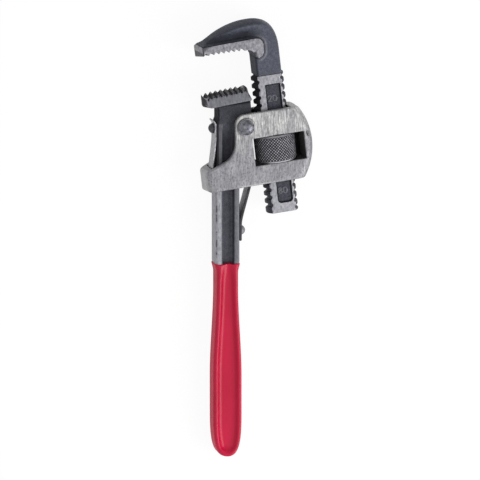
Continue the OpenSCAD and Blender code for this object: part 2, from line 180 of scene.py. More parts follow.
class Sampled:
    """Fields across the plane, sampled once on a fine grid and read back between its points."""

    def __init__(self, low, high, **fields):
        self.low = low
        axes = [np.arange(a, b + PLAN_STEP, PLAN_STEP) for a, b in zip(low, high)]
        grid = np.meshgrid(*axes, indexing="ij")
        for name, field in fields.items():
            setattr(self, name, self.reader(field(*grid)))

    def reader(self, table):
        def read(u, t):
            i = np.clip((u - self.low[0]) / PLAN_STEP, 0, table.shape[0] - 1.001)
            j = np.clip((t - self.low[1]) / PLAN_STEP, 0, table.shape[1] - 1.001)
            i, j = np.broadcast_arrays(i, j)
            a, b = i.astype(int), j.astype(int)
            p, q = i - a, j - b
            return ((table[a, b] * (1 - q) + table[a, b + 1] * q) * (1 - p)
                    + (table[a + 1, b] * (1 - q) + table[a + 1, b + 1] * q) * p)
        return read


# ---- surface net ----
def surface_net(field, low, high, step):
    """Points and four-sided faces of the surface on which the field is zero."""
    axes = [np.arange(a - step, b + 2 * step, step) for a, b in zip(low, high)]
    shape = tuple(len(a) for a in axes)
    grid = np.meshgrid(*axes, indexing="ij", sparse=True)
    value = np.ascontiguousarray(np.broadcast_to(field(*grid), shape), np.float32)
    inside = value < 0
    cells = [n - 1 for n in shape]
    corners = [(i, j, k) for i in (0, 1) for j in (0, 1) for k in (0, 1)]

    def at(array, corner):
        return array[tuple(slice(c, c + n) for c, n in zip(corner, cells))]

    count = sum(at(inside, corner).astype(np.int8) for corner in corners)
    mixed = (count > 0) & (count < len(corners))
    where = np.argwhere(mixed)
    index = np.full(cells, -1, np.int64)
    index[mixed] = np.arange(len(where))
    total = np.zeros((len(where), 3))
    hits = np.zeros(len(where))
    for axis in range(3):
        for corner in corners:
            if corner[axis]:
                continue
            a = at(value, corner)[mixed]
            b = at(value, tuple(c + (i == axis) for i, c in enumerate(corner)))[mixed]
            hit = (a < 0) != (b < 0)
            point = np.tile(np.array(corner, float), (int(hit.sum()), 1))
            point[:, axis] = a[hit] / (a[hit] - b[hit])
            total[hit] += point
            hits[hit] += 1
    points = (where + total / hits[:, None]) * step + np.array([a[0] for a in axes])

    faces = []
    for axis in range(3):
        b, c = (axis + 1) % 3, (axis + 2) % 3
        start = [slice(1, -1)] * 3
        start[axis] = slice(0, -1)
        end = list(start)
        end[axis] = slice(1, None)
        first, last = inside[tuple(start)], inside[tuple(end)]
        change = np.argwhere(first != last)
        leaving = first[first != last]
        ring = []
        for db, dc in ((0, 0), (1, 0), (1, 1), (0, 1)):
            cell = change.copy()
            cell[:, b] += db
            cell[:, c] += dc
            ring.append(index[tuple(cell.T)])
        quads = np.stack(ring, 1)
        faces.append(np.where(leaving[:, None], quads, quads[:, ::-1]))
    return points, np.concatenate(faces)


def sculpt(name, field, low, high, step, place, body, nodes, material, masks=None):
    """Make a piece from its field, inside a box from low to high.

    place moves its points into the frame's own axes. body is what it rides on, or None where
    it is blended between two bodies. masks gives up to three values a point for its material.
    """
    points, faces = surface_net(field, low, high, step)
    mesh = bpy.data.meshes.new(name)
    mesh.from_pydata((place(points) * MM).tolist(), [], faces.tolist(), shade_flat=False)
    if masks:
        columns = [np.broadcast_to(m, len(points)) for m in masks(*points.T)]
        columns += [np.zeros(len(points))] * (3 - len(columns)) + [np.ones(len(points))]
        layer = mesh.attributes.new("masks", "FLOAT_COLOR", "POINT")
        layer.data.foreach_set("color", np.stack(columns, 1).astype(np.float32).ravel())
    mesh.materials.append(material)
    piece = bpy.data.objects.new(name, mesh)
    bpy.context.scene.collection.objects.link(piece)
    if body:
        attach(piece, body)
    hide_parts(*nodes)
    return piece


# ---- materials ----
def srgb(*value):
    """A colour written as 0 to 255, as the shader's own numbers."""
    linear = (((v / 255 + 0.055) / 1.055) ** 2.4 if v > 10 else v / 255 / 12.92 for v in value)
    return (*linear, 1)


SOCKETS = {"base_color": "Base Color", "roughness": "Roughness", "metallic": "Metallic",
           "normal": "Normal", "specular_ior_level": "Specular IOR Level"}
# What a piece's masks stand for, except on the grip. BRIGHT is ground metal and also painted
# highlight, DARK is mostly painted shade, and LOW_AND_RIGHT darkens the frame low and at the right
BRIGHT, DARK, LOW_AND_RIGHT = 0, 1, 2
# The colour and roughness laid where DARK is: mostly painted shade, with some dark edges
SHADE_AND_GRIME, SHADE_AND_GRIME_ROUGHNESS = srgb(6, 6, 8), 0.95
NOISE_ROUGHNESS = 0.55


class Shader:
    """A material whose nodes are made by short calls."""

    def __init__(self, name):
        self.material = bpy.data.materials.new(name)
        self.material.use_nodes = True
        self.tree = self.material.node_tree
        self.surface = self.tree.nodes["Principled BSDF"]
        self.place = self.add("ShaderNodeTexCoord").outputs["Object"]
        self.masks = None

    def add(self, kind, inputs=(), **settings):
        node = self.tree.nodes.new(kind)
        for key, value in settings.items():
            setattr(node, key, value)
        for key, value in dict(inputs).items():
            self.put(node.inputs[key], value)
        return node

    def put(self, socket, value):
        if isinstance(value, bpy.types.NodeSocket):
            self.tree.links.new(value, socket)
        else:
            socket.default_value = value

    def noise(self, size, detail, stretch, turn=TILT, seed=0.0):
        """Noise whose lumps are size mm across, and stretch times that along the shank.

        With no turn they lie along the handle.
        """
        scale = 1 / (size * MM)
        mapping = self.add("ShaderNodeMapping", {
            "Vector": self.place, "Rotation": (0, 0, -turn), "Location": (seed, seed, seed),
            "Scale": (scale, scale / stretch, scale)})
        node = self.add("ShaderNodeTexNoise", {
            "Vector": mapping.outputs[0], "Scale": 1.0, "Detail": detail,
            "Roughness": NOISE_ROUGHNESS})
        return node.outputs["Fac"]

    def remap(self, value, a, b, c=0.0, d=1.0):
        """A value between a and b, as one between c and d."""
        node = self.add("ShaderNodeMapRange", {0: value, 1: a, 2: b, 3: c, 4: d})
        return node.outputs[0]

    def math(self, operation, a, b):
        return self.add("ShaderNodeMath", {0: a, 1: b}, operation=operation).outputs[0]

    # The mix node has its numbers at sockets 2 and 3, and its colours at 6 and 7
    def mix(self, factor, a, b, blend="MIX"):
        node = self.add("ShaderNodeMix", {0: factor, 6: a, 7: b}, data_type="RGBA", blend_type=blend)
        return node.outputs[2]

    def blend(self, factor, a, b):
        return self.add("ShaderNodeMix", {0: factor, 2: a, 3: b}, data_type="FLOAT").outputs[0]

    def tint(self, colour, other, noise, a, b, strength):
        """The colour with another laid over it where the noise goes from a to b."""
        share = self.math("MULTIPLY", self.remap(noise, a, b), strength)
        return self.mix(share, colour, other)

    def mask(self, channel):
        if self.masks is None:
            layer = self.add("ShaderNodeAttribute", attribute_name="masks")
            self.masks = self.add("ShaderNodeSeparateColor", {0: layer.outputs["Color"]})
        return self.masks.outputs[channel]

    def less_where_dark(self, value):
        """A value that falls to nothing where painted shade lies in dark corners, which reflect
        nothing.
        """
        return self.math("MULTIPLY", self.math("SUBTRACT", 1.0, self.mask(DARK)), value)

    def dull_where_dark(self, roughness):
        return self.blend(self.mask(DARK), roughness, SHADE_AND_GRIME_ROUGHNESS)

    def bump(self, height, depth, below=None):
        """A normal from a height, with its depth in millimetres."""
        inputs = {"Height": height, "Distance": depth * MM, "Strength": 1.0}
        if below is not None:
            inputs["Normal"] = below
        return self.add("ShaderNodeBump", inputs).outputs[0]

    def finish(self, **sockets):
        for name, value in sockets.items():
            self.put(self.surface.inputs[SOCKETS[name]], value)
        return self.material


def ground_steel():
    """Steel ground along the shank: streaks, patches, mottling and a fine grain."""
    m = Shader("frame_steel")
    streaks = m.noise(0.6, detail=4, stretch=10)
    fine = m.noise(0.3, detail=3, stretch=5, seed=5)
    broad = m.noise(4, detail=3, stretch=2.0, seed=3)
    patch = m.noise(13, detail=3, stretch=1.2, seed=7)
    colour = m.mix(m.remap(broad, 0.32, 0.68), srgb(170, 170, 172), srgb(204, 203, 201))
    colour = m.tint(colour, srgb(138, 138, 142), patch, 0.45, 0.7, strength=0.4)
    strong = m.blend(m.mask(LOW_AND_RIGHT), 0.8, 0.45)
    colour = m.tint(colour, srgb(92, 92, 96), streaks, 0.48, 0.68, strength=strong)
    colour = m.tint(colour, srgb(232, 231, 230), streaks, 0.44, 0.3, strength=strong)
    mottle = m.noise(0.9, detail=3, stretch=1.6, seed=11)
    blotched = m.blend(m.mask(LOW_AND_RIGHT), 0.45, 0.85)
    colour = m.tint(colour, srgb(100, 100, 104), mottle, 0.5, 0.68, strength=blotched)
    colour = m.tint(colour, srgb(80, 80, 84), fine, 0.55, 0.75, strength=0.4)
    # Darker towards the frame's bottom and right side
    colour = m.mix(m.mask(LOW_AND_RIGHT), colour, srgb(208, 208, 214), "MULTIPLY")
    colour = m.mix(m.math("MULTIPLY", m.mask(LOW_AND_RIGHT), 0.3), colour, srgb(128, 128, 134))
    # Painted highlight along the upper edge, and painted light on the lug's left side
    colour = m.mix(m.mask(BRIGHT), colour, srgb(214, 214, 214))
    # Painted shade inside the frame, and a painted shadow round the rivet
    colour = m.mix(m.mask(DARK), colour, SHADE_AND_GRIME)
    roughness = m.remap(streaks, 0.3, 0.7, 0.42, 0.62)
    normal = m.bump(streaks, 0.03)
    normal = m.bump(fine, 0.02, normal)
    return m.finish(base_color=colour, roughness=m.dull_where_dark(roughness),
                    metallic=m.less_where_dark(0.5), normal=normal, specular_ior_level=0.3)


def forged_paint(name, pale, dark, ground_pale, ground_dark, length=5):
    """Thin satin paint on a forging, with ground metal where its mask is bright. That mask also lays
    painted highlights, and its dark mask lays painted shade.

    length is how far the ground metal's streaks are stretched along the shank.
    """
    m = Shader(name)
    lumps = m.noise(2.2, detail=5, stretch=1.2)
    grain = m.noise(0.45, detail=3, stretch=1.0, seed=2)
    wash = m.noise(14, detail=2, stretch=1.3, seed=9)
    paint = m.mix(m.remap(lumps, 0.32, 0.68), dark, pale)
    paint = m.tint(paint, dark, wash, 0.42, 0.66, strength=0.5)
    paint = m.tint(paint, ground_pale, grain, 0.56, 0.74, strength=0.35)
    paint = m.tint(paint, srgb(34, 34, 38), grain, 0.46, 0.3, strength=0.4)
    streaks = m.noise(0.5, detail=4, stretch=length, seed=4)
    mottle = m.noise(1.6, detail=4, stretch=1.4, seed=6)
    ground = m.mix(m.remap(mottle, 0.34, 0.66), ground_dark, ground_pale)
    ground = m.tint(ground, dark, streaks, 0.48, 0.72, strength=0.55)
    # The bright mask is ground metal, and also painted highlight and painted light on some faces
    bare_and_highlit = m.mask(BRIGHT)
    colour = m.mix(bare_and_highlit, paint, ground)
    # Painted shade where the dark mask is
    colour = m.mix(m.mask(DARK), colour, SHADE_AND_GRIME)
    metallic = m.math("MULTIPLY", bare_and_highlit, m.less_where_dark(0.75))
    roughness = m.blend(bare_and_highlit, m.remap(lumps, 0.3, 0.7, 0.4, 0.56), 0.5)
    normal = m.bump(lumps, 0.12)
    normal = m.bump(grain, 0.06, normal)
    return m.finish(base_color=colour, roughness=m.dull_where_dark(roughness), metallic=metallic,
                    normal=normal, specular_ior_level=0.3)


def dipped_vinyl():
    """Red dipped coating with a faint orange peel. Its mask 1 is where it is duller."""
    m = Shader("dipped_vinyl")
    wash = m.noise(20, detail=2, stretch=2.5, turn=0.0)
    orange_peel = m.noise(1.6, detail=2, stretch=1.3, turn=0.0, seed=3)
    colour = m.mix(m.remap(wash, 0.35, 0.65), srgb(188, 4, 53), srgb(204, 10, 63))
    normal = m.bump(orange_peel, 0.04)
    roughness = m.blend(m.mask(1), 0.35, 0.6)
    return m.finish(base_color=colour, roughness=roughness, normal=normal, specular_ior_level=0.3)


def oiled_steel(name, pale, dark, rough, metal=0.5):
    """Small steel parts with a film of oil, in patches and a fine grain."""
    m = Shader(name)
    patch = m.noise(2.2, detail=4, stretch=1.0)
    grain = m.noise(0.4, detail=2, stretch=1.0, seed=3)
    colour = m.mix(m.remap(patch, 0.35, 0.68), dark, pale)
    colour = m.tint(colour, dark, grain, 0.55, 0.75, strength=0.4)
    # Painted highlights on the nut's rims and knurl crests
    colour = m.mix(m.mask(BRIGHT), colour, srgb(196, 196, 200))
    # Painted shade in the knurl's grooves and the nut's bore; dark edges on the back spring and darker
    # broad sides on the front spring
    colour = m.mix(m.mask(DARK), colour, SHADE_AND_GRIME)
    normal = m.bump(grain, 0.03)
    roughness = m.remap(patch, 0.3, 0.7, rough - 0.08, rough + 0.12)
    return m.finish(base_color=colour, roughness=m.dull_where_dark(roughness),
                    metallic=m.less_where_dark(metal), normal=normal, specular_ior_level=0.4)


# ---- thread shared by the shank and the nut ----
PITCH = 5.0
# Radius of the thread's crests, and the depth of its grooves
CREST = 10.4
THREAD_H = 1.8
# The shank runs from its end up to the hook's shoulder, and is flat at SHANK_HALF
SHANK_END = -59.1
SHOULDER = 30.5
SHANK_HALF = 7.0
FIRST_GROOVE = SHANK_END + PITCH / 2
# Share of the grooves' depth that is left at the shank's flats
DEPTH_AT_FLATS = 0.4
BORE_GAP, BORE_GAP_AT_FLATS = 0.35, 0.15


def thread_radius(u, t, n):
    """Right-hand thread with rounded crests and roots."""
    turn = np.arctan2(u, n) / (2 * math.pi) - 0.25
    wave = zigzag((t - FIRST_GROOVE) / PITCH - turn)
    return CREST - THREAD_H * ramp(0.36, 0.84, wave)


def shank_radius(u, t, n):
    """The thread, cut less deep towards the flats and not at all at the very end."""
    cut = CREST - thread_radius(u, t, n)
    share = 1 - (1 - DEPTH_AT_FLATS) * ramp(SHANK_HALF / 2, SHANK_HALF, np.abs(n))
    return CREST - cut * share * ramp(SHANK_END + 0.8, SHANK_END + 2.2, t)


def bore_radius(u, t, n):
    """The nut's thread, which clears the shank where its grooves are shallow too."""
    full = thread_radius(u, t, n)
    shallow = CREST - DEPTH_AT_FLATS * (CREST - full)
    return np.maximum(full + BORE_GAP, shallow + BORE_GAP_AT_FLATS)


# ---- hook jaw ----
TOOTH_LINE = 48.7
TOOTH_SLOPE = math.tan(math.radians(-0.5))
TOOTH_PITCH = 3.3
TOOTH_H = 1.7
TEETH = 8
TIP_U = -41.6
# Half thickness of the hook's ground strip and of the heel
JAW_HALF = 10.0
STEM_LEFT = -8.2
STEM_BACK = 9.0
STEM_HALF = 9.7
HOOK_TIP = (-41.75, TOOTH_LINE + 5.4)
HOOK_CROWN = (-9.0, TOOTH_LINE + 17.98)


def hook_top():
    """The hook's outer curve, from the tip over the crown to the stem's back."""
    tip, crown = np.array(HOOK_TIP), np.array(HOOK_CROWN)
    back = np.array([STEM_BACK, TOOTH_LINE - 2.5])
    rise = bezier(tip, tip + (6.7, 5.7), crown - (14, 0.1), crown)
    return np.concatenate([rise, bezier(crown, crown + (10, 0.2), back + (0, 17.4), back)[1:]])


def tooth_line(u):
    return TOOTH_LINE + (u - STEM_LEFT) * TOOTH_SLOPE


def hook_outline():
    top = hook_top()
    corners = [(STEM_BACK, SHOULDER, 0)] + [(u, t, 0) for u, t in top[::-1]]
    corners.append((TIP_U, tooth_line(TIP_U), 0.3))
    for i in range(TEETH):
        u = TIP_U + 0.5 + i * TOOTH_PITCH
        corners += [(u, tooth_line(u), 0), (u + 0.38 * TOOTH_PITCH, tooth_line(u) + TOOTH_H, 0)]
    end = TIP_U + 0.5 + TEETH * TOOTH_PITCH
    corners += [(end, tooth_line(end), 0), (STEM_LEFT, TOOTH_LINE, 5), (STEM_LEFT, SHOULDER, 0)]
    return rounded(corners)


HOOK_OUTLINE = hook_outline()
HOOK_TOP = np.concatenate([hook_top(), [(STEM_BACK, SHOULDER)]])
# The ground strip over the teeth, which ends in a lobe at the throat
GROUND_LOBE = rounded([
    (-50, 54.2, 0), (-28.5, 55.1, 0), (-7.3, 55.6, 0), (-1.8, 55.4, 4.4), (-2.6, 41.6, 4.6),
    (-8.3, 42.6, 2), (-9.4, 47.9, 3), (-15, 48.2, 0), (-15, 44, 0), (-50, 44, 0)])


def hook_channel(u, t):
    """Where the face is hollowed, between the strip over the teeth and the crown."""
    return ramp(-1, -12, u) * ramp(40, 50, t) * ramp(-41, -37, u)


def hook_height(u, t):
    """Half thickness of the hook: ground strip, channel, rib and rounded outer side."""
    over_strip = outline_distance(GROUND_LOBE, u, t)
    from_top = line_distance(HOOK_TOP, u, t)
    channel = hook_channel(u, t)
    depth = 3.4 * ramp(0.0, 1.6, over_strip) * ramp(8.2, 3.2, over_strip)
    lip = 0.45 * (1 - channel) * np.exp(-((over_strip - 1.5) / 0.7) ** 2) * ramp(38, 44, t)
    painted = 9.5 - 0.5 * ramp(0, 0.4, over_strip) - channel * depth + lip
    reach = 0.5 + 3.1 * ramp(-41.5, -31, u)
    k = np.clip(1 - from_top / reach, 0, 1)
    side = 10.4 * np.sqrt(1 - k * k) + 9 * ramp(-38, -41.5, u)
    painted = round_min(painted, side, 0.9)
    return np.where(over_strip < 0, np.minimum(JAW_HALF, side), painted)


def hook_head(u, t, n):
    back = towards_back(n, JAW_HALF)
    t = t + (0.5 + 2.3 * ramp(54.5, 49.5, t)) * back * ramp(-30, -41.5, u)
    u = u + 1.15 * back * ramp(-34, -41, u)
    outline = HEAD.outline(u, t)
    height = HEAD.height(u, t)
    body = round_max(outline, np.abs(n) - height, 0.5)
    # This rounds the stem's inner edge, and cuts nothing from the hook above it
    stem = round_max(STEM_LEFT - u, np.abs(n) - STEM_HALF, 2.6) - 60 * ramp(43.5, 47, t)
    return most(body, stem, SHOULDER - t)


HEAD = Sampled((-45, 27), (13, 70), height=hook_height, outline=within(HOOK_OUTLINE),
               lobe=within(GROUND_LOBE), rim=lambda u, t: line_distance(HOOK_TOP, u, t))


def hook_head_masks(u, t, n):
    """Bright where it is ground, with a painted highlight on the lip round the strip, and painted shade
    in hollows, along edges, under the shoulder, between the teeth, on the crown and the inner side.
    """
    lobe = HEAD.lobe(u, t)
    flat = (lobe < 0.05) & (np.abs(n) > 9.6)
    tip = (u < -41.2) & (np.abs(n) < 9.7)
    teeth = (t < 50.9) & (u < -13) & (np.abs(n) < 9.6)
    # Painted highlight on the lip round the ground strip, laid as ground metal
    lip = np.exp(-((lobe - 1.5) / 0.6) ** 2) * ramp(-9, -3, u) * ramp(38, 42, t) * (n > 6)
    ground = np.where(flat | tip, 1.0, 0.5 * lip)
    # Painted shade: lines along the strip's raised edge and the tip's edge, the stem's inner side,
    # under the shoulder, the hollow, the crown and the walls between the teeth
    line = np.exp(-(lobe / 0.4) ** 2) * (lobe > -0.15) * 0.9
    edge = np.exp(-((u + 41.3) / 0.35) ** 2) * (n > 9.2) * 0.8
    stem_side = ramp(-6.6, -7.9, u) * (t < 47) * 0.55
    under = ramp(31.3, 30.6, t) * 0.95
    hollow = hook_channel(u, t) * ramp(0, 1, lobe) * ramp(7.5, 3.0, lobe) * 0.6
    crown = ramp(3.4, 2.0, HEAD.rim(u, t)) * ramp(4, -6, u) * ramp(-41.3, -40.3, u) * 0.45
    wall = teeth * ramp(9.7, 9.2, np.abs(n)) * 0.5
    return ground, np.maximum.reduce([line, edge, stem_side, under, hollow, crown, wall])


PANEL_U = 1.4
PANEL_HALF = 4.8
PANEL_FLOOR = 5.8
PANEL = rounded([(PANEL_U - PANEL_HALF, -52.7, 2.2), (PANEL_U + PANEL_HALF, -52.7, 2.2),
                 (PANEL_U + PANEL_HALF, 24.2, 0.6), (PANEL_U - PANEL_HALF, 24.2, 0.6)])
# The marks stand on the panel's floor
MARK_H = 0.42
FIGURE_LEFT, FIGURE_H, STROKE_HALF = -2.4, 3.8, 0.42
TICK_U, TICK_HALF_LEN, TICK_HALF_W = 3.9, 0.9, 0.16
# Strokes of plain figures, one unit high
FIGURES = {
    "0": [(0, .3), (0, .7), (.12, .93), (.3, 1), (.48, .93), (.6, .7), (.6, .3), (.48, .07),
          (.3, 0), (.12, .07), (0, .3)],
    "2": [(0, .75), (.1, .95), (.3, 1), (.5, .93), (.58, .75), (.5, .5), (0, 0), (.62, 0)],
    "8": [(.3, .53), (.1, .65), (.06, .82), (.3, 1), (.54, .82), (.5, .65), (.3, .53), (.06, .38),
          (0, .2), (.3, 0), (.6, .2), (.54, .38), (.3, .53)],
}


def figures(text, u0, t0, height, u, t):
    """Distance to the strokes of a plain number."""
    best = np.inf
    for i, mark in enumerate(text):
        points = [(u0 + (i * 0.85 + a) * height, t0 + b * height) for a, b in FIGURES[mark]]
        best = np.minimum(best, line_distance(points, u, t))
    return best


def panel_marks(u, t):
    """Plain graduations of the opening, with two numbers."""
    k = t / PITCH
    tick = np.maximum(np.abs(k - np.round(k)) * PITCH - TICK_HALF_W, np.abs(u - TICK_U) - TICK_HALF_LEN)
    upper = figures("20", FIGURE_LEFT, 13.2, FIGURE_H, u, t)
    lower = figures("80", FIGURE_LEFT, -46.8, FIGURE_H, u, t)
    return np.minimum(np.minimum(upper, lower) - STROKE_HALF, tick)


SHANK = Sampled((-11, -62), (11, 33), panel=within(PANEL), marks=panel_marks)


def shank(u, t, n):
    thread = np.hypot(u, n) - shank_radius(u, t, n)
    flats = np.abs(n) - SHANK_HALF
    body = round_max(thread, flats, 0.3)
    body = round_max(body, SHANK_END - t, 0.7)
    sunk = round_max(SHANK.panel(u, t), PANEL_FLOOR - np.abs(n), 0.5)
    body = round_max(body, -sunk, 0.3)
    front = np.where(n > 0, u, -u)
    raised = np.maximum(SHANK.marks(np.broadcast_to(front, np.broadcast(front, t).shape), t),
                        np.abs(n) - PANEL_FLOOR - MARK_H)
    raised = np.maximum(raised, PANEL_FLOOR - 0.3 - np.abs(n))
    return most(np.minimum(body, raised), t - SHOULDER - 0.4)


def shank_masks(u, t, n):
    """Bright flats and raised marks, and painted shade over the thread, stronger on its left side, and
    on the panels' walls.
    """
    on_flat = np.abs(n) > 6.72
    panel = SHANK.panel(u, t) < 0.25
    marked = SHANK.marks(np.where(n > 0, u, -u), t) < 0.1
    ground = np.where(on_flat & ~panel, 1.0, np.where(panel & marked & (np.abs(n) > 6.0), 0.32, 0.0))
    # Painted shade: the thread darker on its left side, less so towards its lower end
    left = ramp(4, -4, u)
    side = np.where(np.abs(n) < 6.75, (0.3 + 0.5 * left) * (0.15 + 0.85 * ramp(-46, -34, t)), 0.0)
    side = np.where(panel, 0.0, side)
    # Painted shade on the panels' walls
    wall = np.where(panel, 0.8 * ramp(-1.1, -0.4, SHANK.panel(u, t)), 0.0)
    return ground, np.maximum(side, wall)


# ---- frame ----
FRAME_TOP, FRAME_BOTTOM = 8.22, -38.32
WINDOW_LEFT, WINDOW_RIGHT = -16.35, 17.35
WINDOW_BOTTOM, WINDOW_TOP = -25.92, -8.08
BACK_WINDOW_RIGHT = 14.6
FRAME_HALF = 11.0
CAVITY_HALF = 7.5
FRAME_RIGHT = 23.2
CORNER_RIGHT = 16.0
# The shank's passage, with the guide wall on its left
PASSAGE = CREST + 0.7
GUIDE_LEFT = -PASSAGE - 4.8
LUG_OUTER, LUG_INNER = -26.2, -21.7
LUG_H = 13.0
BOSS = 7.0
# The right side is an arc from the frame's bottom to its top
SIDE_MID = (FRAME_TOP + FRAME_BOTTOM) / 2
SIDE_HALF = (FRAME_TOP - FRAME_BOTTOM) / 2
SIDE_SAG = FRAME_RIGHT - CORNER_RIGHT
SIDE_R = (SIDE_HALF ** 2 + SIDE_SAG ** 2) / (2 * SIDE_SAG)


def frame_outline():
    def across(x, y, radius):
        return (*to_shank(x, y), radius)

    def on_line(x, t):
        return (t + x * SIN) / COS

    swing = math.asin((SIDE_HALF - 2.5) / SIDE_R)
    corners = [across(LUG_OUTER + LUG_H * math.tan(TILT), on_line(LUG_OUTER, FRAME_BOTTOM), 3)]
    corners.append((CORNER_RIGHT, FRAME_BOTTOM, 2.6))
    for k in np.linspace(-1, 1, 15):
        corners.append((FRAME_RIGHT - SIDE_R + SIDE_R * math.cos(swing * k),
                        SIDE_MID + SIDE_R * math.sin(swing * k), 0))
    corners.append((CORNER_RIGHT, FRAME_TOP, 4))
    corners.append(across(-BOSS, on_line(-BOSS, FRAME_TOP), BOSS - 0.5))
    corners.append(across(-BOSS, -BOSS - 11.6, 13))
    corners.append(across(LUG_OUTER, on_line(LUG_OUTER, FRAME_BOTTOM) + LUG_H, 1.6))
    return rounded(corners)


FRAME_OUTLINE = frame_outline()
LUG_SIDE = to_shank(LUG_OUTER, -28.6)[0]
FRAME_PLAN = Sampled((-52, -43), (26, 14), outline=within(FRAME_OUTLINE))
RIVET_R = 3.2
DENT_U, DENT_T, DENT_N, DENT_R = 20.4, -9.6, 10.6, 1.5


def right_side(u, t):
    """Signed distance to the frame's curved right side."""
    return np.hypot(u - FRAME_RIGHT + SIDE_R, t - SIDE_MID) - SIDE_R


def frame_housing(u, t, n):
    x, y = from_shank(u, t)
    depth = np.abs(n)
    face = depth - FRAME_HALF
    sag = 2.0 * ramp(-32, -44, u) * ramp(-22, -32, t) * towards_back(n, FRAME_HALF)
    body = round_max(FRAME_PLAN.outline(u, t + sag), face, 1.1)
    body = np.maximum(body, round_max(right_side(u, t), face, 5.5))
    body = np.maximum(body, round_max(LUG_SIDE - u, face, 4.5))
    cavity = most(depth - CAVITY_HALF, LUG_INNER - x, u - PASSAGE)
    guide = most(GUIDE_LEFT - u, u + PASSAGE, t - WINDOW_BOTTOM)
    cavity = np.maximum(cavity, -guide)
    right_edge = np.where(n < -CAVITY_HALF, BACK_WINDOW_RIGHT, WINDOW_RIGHT)
    window = most(WINDOW_LEFT - u, u - right_edge, WINDOW_BOTTOM - t, t - WINDOW_TOP)
    body = round_max(body, -cavity, 0.4)
    body = round_max(body, -window, 0.35)
    dent = DENT_R - np.sqrt((u - DENT_U) ** 2 + (t - DENT_T) ** 2 / 3 + (n - DENT_N) ** 2)
    return most(body, RIVET_R - np.hypot(x, y), dent)


def frame_masks(u, t, n):
    """A painted highlight along the upper edge, painted light on the lug's left side, painted shade
    inside, a painted shadow round the rivet that is stronger on one side, and darker low and at the
    right.
    """
    outline = FRAME_PLAN.outline(u, t)
    # Painted shade inside the frame
    inner = (np.abs(n) < 9.9) & (outline < -0.9) & (right_side(u, t) < -3) & (u > LUG_SIDE + 2.5)
    x, y = from_shank(u, t)
    r = np.hypot(x, y)
    # Painted shadow round the rivet, stronger on one side
    ring = np.exp(-((r - 5.75) / 0.5) ** 2) * (n > 9) * (0.45 - 0.35 * (x - y) / np.maximum(r, 1))
    # Painted highlight along the front face's upper edge
    edge = np.exp(-((outline + 0.7) / 0.5) ** 2) * (n > 9) * ramp(4, -12, u) * ramp(-30, -24, u) * 0.35
    # Painted light on the lug's left side
    lug = ramp(LUG_SIDE + 2.4, LUG_SIDE + 1.2, u) * ramp(9.9, 8, n) * 0.3
    # Darker towards the bottom and at the right side
    low = ramp(-1, -20, t) * 0.85 + ramp(18, 23, u) * 0.3
    return np.maximum(edge, lug), np.maximum(np.where(inner, 0.93, 0.0), ring), low


# ---- adjusting nut ----
NUT_T = -17.0
NUT_R = 13.19
NUT_HALF = 8.7
KNURL_STARTS = 42
KNURL_DEPTH = 0.5
KNURL_HALF = 7.75
RIM_R = NUT_R - 0.25
CHAMFER = 1.1


def nut(u, t, n):
    r = np.hypot(u, n)
    h = t - NUT_T
    turn = KNURL_STARTS * np.arctan2(u, n) / (2 * math.pi)
    climb = h * KNURL_STARTS / (2 * math.pi * NUT_R)
    ridge = np.minimum(zigzag(turn + climb), zigzag(turn - climb))
    knurled = NUT_R - KNURL_DEPTH * (1 - np.minimum(ridge * 1.5, 1))
    radius = np.where(np.abs(h) < KNURL_HALF, knurled, RIM_R)
    end = np.abs(h) - NUT_HALF
    outer = round_max(r - radius, end, 0.35)
    outer = np.maximum(outer, (r - NUT_R + end + CHAMFER) * 0.707)
    return np.maximum(outer, bore_radius(u, t, n) - r)


def nut_masks(u, t, n):
    """Painted highlights on the rims, the lower rim more, and on the crests of the knurl, and painted
    shade in its grooves and the bore.
    """
    r = np.hypot(u, n)
    h = np.abs(t - NUT_T)
    # Painted shade in the knurl's grooves and the bore
    grooves = ramp(NUT_R - 0.08, NUT_R - 0.36, r) * (h < KNURL_HALF) * 0.92
    bore = (r < 11.5) * 0.8
    # Painted highlights on the rims, stronger on the lower one, and on the knurl's crests
    rim = ramp(KNURL_HALF - 0.15, KNURL_HALF + 0.15, h) * (r > 11.6) * np.where(t < NUT_T, 1.0, 0.25)
    crests = 0.45 * ramp(NUT_R - 0.12, NUT_R - 0.03, r) * (h < KNURL_HALF)
    return np.maximum(rim, crests), np.maximum(grooves, bore)


# ---- handle ----
BAR_X = -11.1
BAR_HALF_T = 6.5
HANDLE_LEN = 214.8
# Thickness of the coating, and how far below the frame's rivet it begins
COAT = 0.8
GRIP_Y = 88.7
# Length of the rounded end, and how square it is
ROUND_LEN, END_POWER = 30.0, 3.1
BAR_W, WAIST_W, SWELL_W, FLANGE_W = 15.6, 12.6, 17.2, 3.8
BAR_RIGHT = BAR_X + BAR_W / 2
SEAT_X = BAR_X - BAR_W / 2 + 0.9
NECK_X = BAR_X - BAR_W / 2 + 1.7
BAR_FROM = -31.0
WEB_HALF = 2.5
RECESS_TOP, RECESS_END = 2.6, 4.0
HEEL_X, HEEL_Y, HEEL_H, HEEL_SLOPE = 3.9, 17.0, 7.2, math.radians(9)
HEEL_LAND = 1.9
HEEL_LEN = HEEL_LAND + TEETH * TOOTH_PITCH
HEEL_LEFT = -25.4
NECK_END = -28
EYE = 5.4


def bar_half(y, coat):
    """Half width of the bar, grown by the coating."""
    down = -y
    end = HANDLE_LEN - COAT + coat
    above = BAR_W + (WAIST_W - BAR_W) * ramp(GRIP_Y - 2, GRIP_Y + 6, down)
    below = WAIST_W + (SWELL_W - WAIST_W) * ramp(GRIP_Y + 15, GRIP_Y + 74, down)
    width = np.where(down < GRIP_Y + 15, above, below)
    k = np.clip((down - end + ROUND_LEN) / ROUND_LEN, 0, 1)
    return (width / 2 + coat) * np.maximum(1 - k ** END_POWER, 0) ** (1 / END_POWER)


